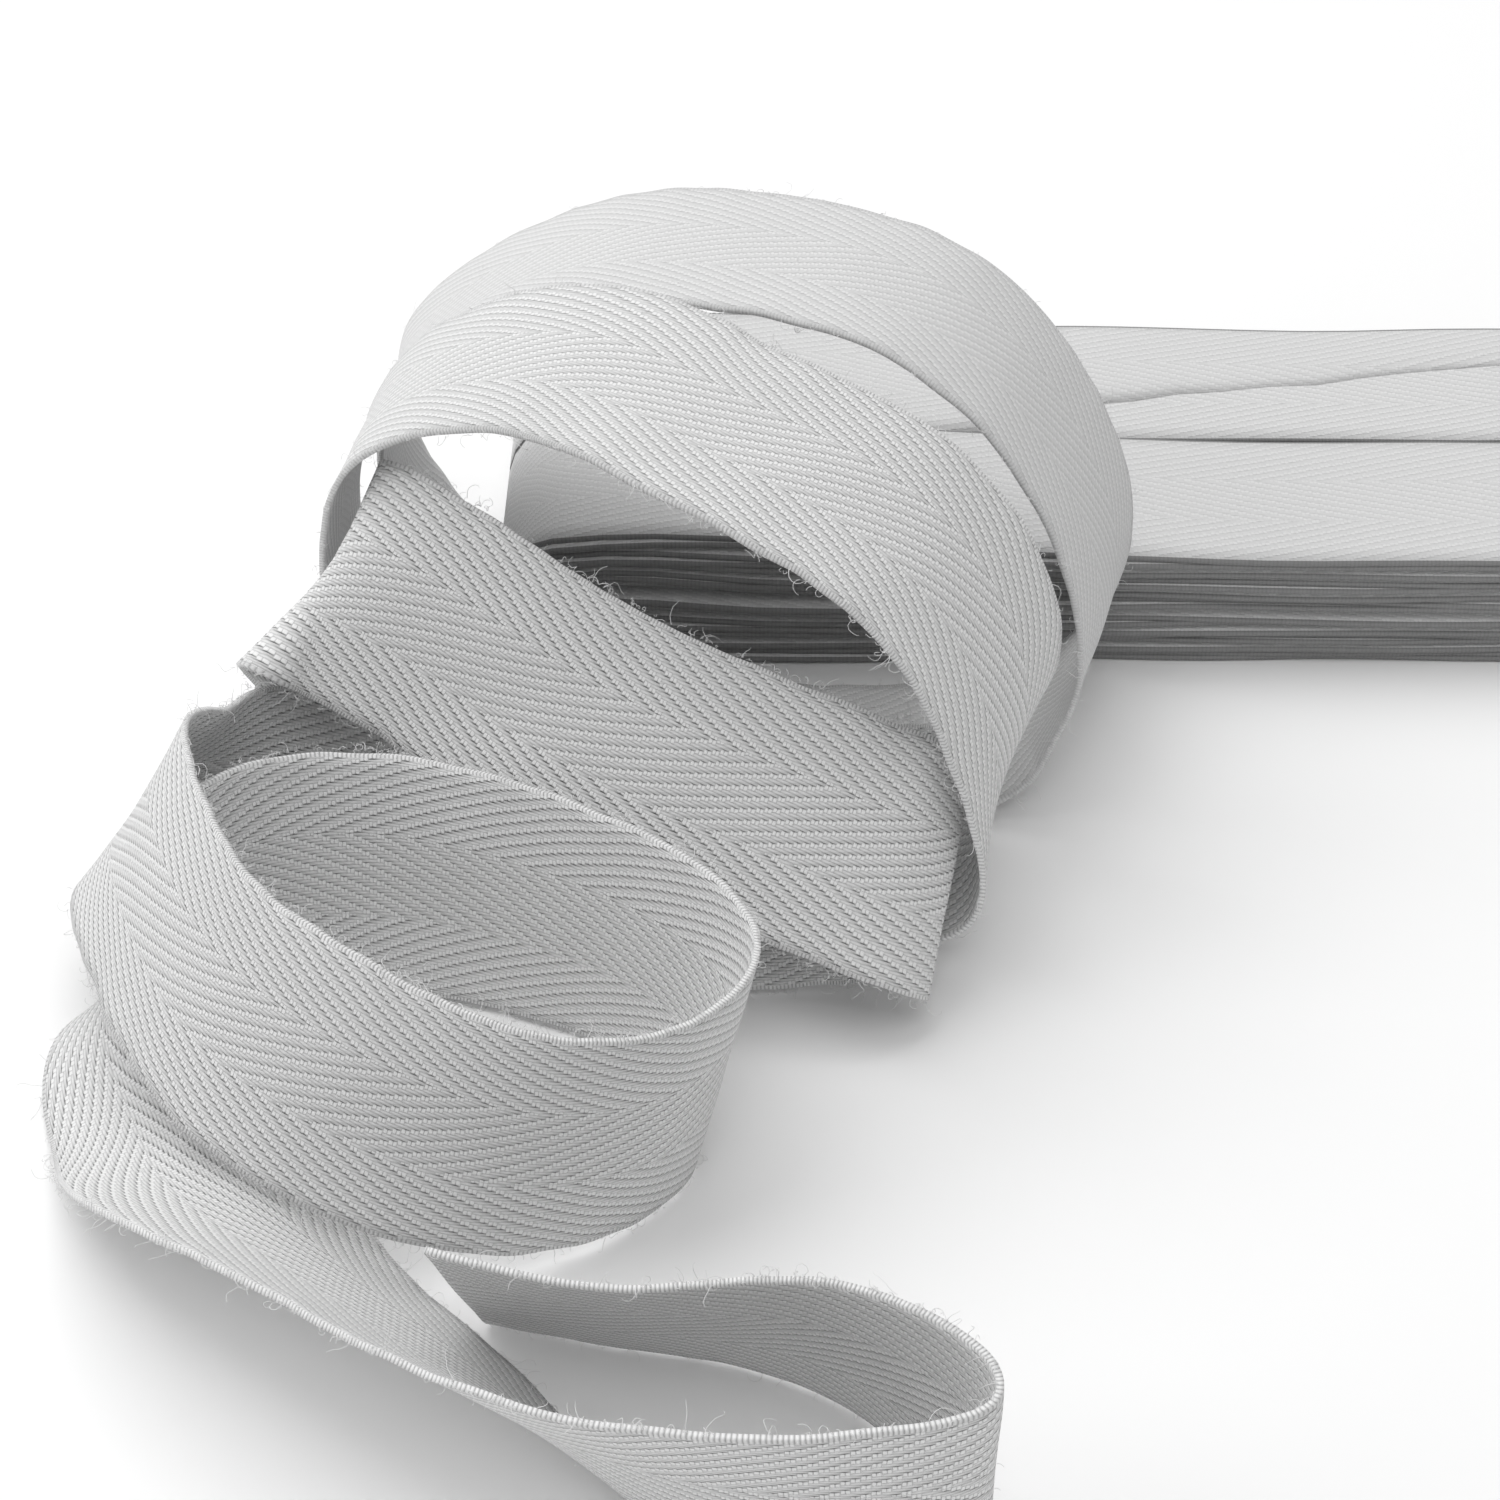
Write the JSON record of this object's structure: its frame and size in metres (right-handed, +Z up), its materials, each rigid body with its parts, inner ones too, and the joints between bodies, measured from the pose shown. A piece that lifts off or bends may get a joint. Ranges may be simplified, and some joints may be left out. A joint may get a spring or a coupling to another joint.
{
  "type": "roll of seam tape",
  "caption": "Flat wound bundle of pale herringbone cotton tape, its long loose end standing in open loops before it.",
  "frame": {"origin": "middle of the flat underside of the bundle's front column of turns, on the surface the roll lies on", "axes": "+X along the bundle, from the end where the loose tape leaves it to its other end; +Y from the loops in front to the bundle behind; +Z up"},
  "size_m": [0.248, 0.1844, 0.0546],
  "materials": {
    "wound_tape": "matt woven cotton",
    "loose_tape": "matt woven cotton, herringbone"
  },
  "bodies": {
    "root": {"wound_bundle": "wound_tape", "loose_end": "loose_tape"}
  },
  "joints": []
}
